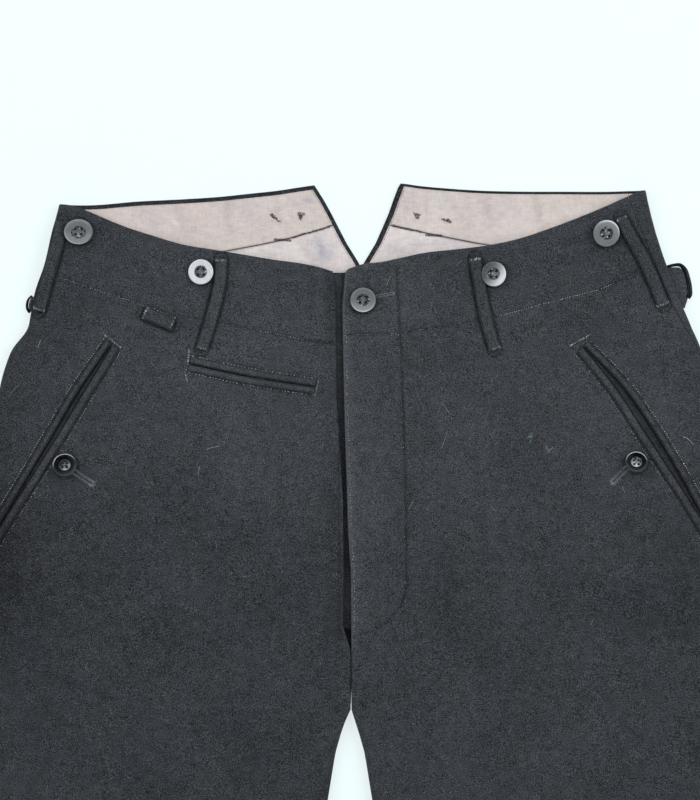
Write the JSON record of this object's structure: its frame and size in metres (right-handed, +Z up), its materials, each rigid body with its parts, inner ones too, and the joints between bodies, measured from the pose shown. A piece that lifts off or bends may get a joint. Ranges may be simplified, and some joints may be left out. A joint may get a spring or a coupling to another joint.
{
  "type": "knee breeches",
  "caption": "Men's wool knee breeches laid flat, front up: fishtail back with a notch, button fly, brace buttons, belt loops, slanted welt pockets and buttoned knee bands.",
  "frame": {"origin": "centre of the outline on the surface that the breeches lie on", "axes": "+X to the wearer's left, +Y up the garment to the waist, +Z up out of the front"},
  "size_m": [0.5637, 0.6954, 0.0137],
  "materials": {
    "wool": "charcoal black fulled wool with a short nap",
    "cotton": "pinkish beige cotton twill, slightly stained",
    "grey_button": "dark grey, semi-gloss, pale sheen on the rim",
    "black_button": "black, glossy, with a polished dish",
    "black_wire": "black japanned"
  },
  "bodies": {
    "root": {"front_right": "wool", "front_left": "wool", "back_right": "wool", "back_left": "wool", "fly_shield": "wool", "belt_loop_side_right": "wool", "belt_loop_front_right": "wool", "belt_loop_front_left": "wool", "belt_loop_side_left": "wool", "fob_loop": "wool", "fob_pocket_welt_upper": "wool", "fob_pocket_welt_lower": "wool", "side_pocket_front_welt_right": "wool", "side_pocket_side_welt_right": "wool", "side_pocket_facing_right": "wool", "side_pocket_front_welt_left": "wool", "side_pocket_side_welt_left": "wool", "side_pocket_facing_left": "wool", "cinch_tab_right": "wool", "cinch_tab_left": "wool", "knee_band_right": "wool", "knee_band_left": "wool", "waist_facing_right": "cotton", "waist_facing_left": "cotton", "seat_lining_right": "cotton", "seat_lining_left": "cotton", "brace_button_outer_right": "grey_button", "brace_button_inner_right": "grey_button", "brace_button_inner_left": "grey_button", "brace_button_outer_left": "grey_button", "waist_button": "grey_button", "knee_button_right": "grey_button", "knee_button_left": "grey_button", "pocket_button_right": "black_button", "pocket_button_left": "black_button", "cinch_buckle_right": "black_wire", "cinch_buckle_left": "black_wire"}
  },
  "joints": []
}
